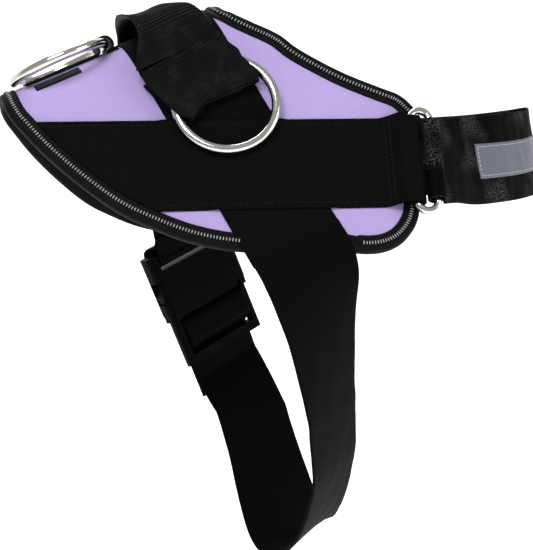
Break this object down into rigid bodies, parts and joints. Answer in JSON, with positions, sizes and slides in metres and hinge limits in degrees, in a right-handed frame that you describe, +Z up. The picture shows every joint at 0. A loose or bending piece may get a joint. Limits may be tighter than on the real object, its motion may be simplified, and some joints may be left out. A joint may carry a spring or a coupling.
{
  "type": "no-pull dog harness",
  "caption": "No-pull dog harness with a padded lilac saddle over the back, black webbing bands, grab handle, metal leash rings, chest strap and side-release girth buckle.",
  "frame": {"origin": "underside of the saddle's ridge, on the dog's spine, under the middle of the strap that crosses the back", "axes": "+X forward to the dog's chest, +Y to the dog's left, +Z up"},
  "size_m": [0.2925, 0.2044, 0.3066],
  "materials": {
    "mesh": "black open mesh lining",
    "foam": "dark closed-cell foam sheet",
    "cover": "lilac twill-woven cloth, matt",
    "binding": "black woven binding tape",
    "reflect": "grey reflective thread",
    "webbing": "black woven webbing, slightly shiny",
    "thread": "black bonded thread",
    "metal": "polished nickel-plated steel",
    "plastic": "black moulded acetal with a fine grain"
  },
  "bodies": {
    "harness": {"mesh_lining": "mesh", "foam_core": "foam", "outer_cover": "cover", "edge_binding": "binding", "reflective_cord": "reflect", "back_strap": "webbing", "side_band_right": "webbing", "side_band_left": "webbing", "band_stitch_right": "thread", "band_stitch_left": "thread", "grab_handle": "webbing", "handle_loop_right": "webbing", "handle_loop_left": "webbing", "ring_tab": "webbing", "label_patch": "binding", "chest_strap": "webbing", "reflective_patch": "reflect", "girth_strap_top": "webbing", "buckle_strap": "webbing", "buckle_female": "plastic"},
    "leash_right": {"leash_ring_right": "metal"},
    "leash_left": {"leash_ring_left": "metal"},
    "rear_ring": {"back_ring": "metal"},
    "chest_link_right": {"chest_ring_right": "metal"},
    "chest_link_left": {"chest_ring_left": "metal"},
    "tab_right": {"chest_tab_right": "webbing"},
    "tab_left": {"chest_tab_left": "webbing"},
    "girth": {"buckle_male": "plastic", "prong_front": "plastic", "prong_rear": "plastic", "girth_loop": "webbing"}
  },
  "joints": [
    {"name": "leash_right_swing", "type": "hinge", "parent": "harness", "child": "leash_right", "pos_m": [0.00872, -0.03163, -0.01671], "axis": [-0.9877, 0, -0.1564], "range_deg": [0, 70], "deforming": ["handle_loop_right"]},
    {"name": "leash_left_swing", "type": "hinge", "parent": "harness", "child": "leash_left", "pos_m": [0.00872, 0.03163, -0.01671], "axis": [0.9877, 0, 0.1564], "range_deg": [0, 70], "deforming": ["handle_loop_left"]},
    {"name": "rear_ring_swing", "type": "hinge", "parent": "harness", "child": "rear_ring", "pos_m": [-0.03319, 0, 0.00406], "axis": [0, 1, 0], "range_deg": [0, 95]},
    {"name": "chest_right_swivel", "type": "hinge", "parent": "harness", "child": "chest_link_right", "pos_m": [0.091, -0.07649, -0.08835], "axis": [0.2944, 0.425, 0.856], "range_deg": [-4, 4]},
    {"name": "chest_left_swivel", "type": "hinge", "parent": "harness", "child": "chest_link_left", "pos_m": [0.091, 0.07649, -0.08835], "axis": [-0.2944, 0.425, -0.856], "range_deg": [-4, 4]},
    {"name": "tab_right_peel", "type": "hinge", "parent": "harness", "child": "tab_right", "pos_m": [0.10053, -0.07848, -0.09063], "axis": [0.2944, 0.425, 0.856], "range_deg": [0, 35]},
    {"name": "tab_left_peel", "type": "hinge", "parent": "harness", "child": "tab_left", "pos_m": [0.10053, 0.07848, -0.09063], "axis": [-0.2944, 0.425, -0.856], "range_deg": [0, 35]},
    {"name": "buckle_release", "type": "slide", "parent": "harness", "child": "girth", "axis": [0.1392, 0, -0.9903], "range_m": [0, 0.045], "deforming": ["prong_front", "prong_rear"]}
  ]
}
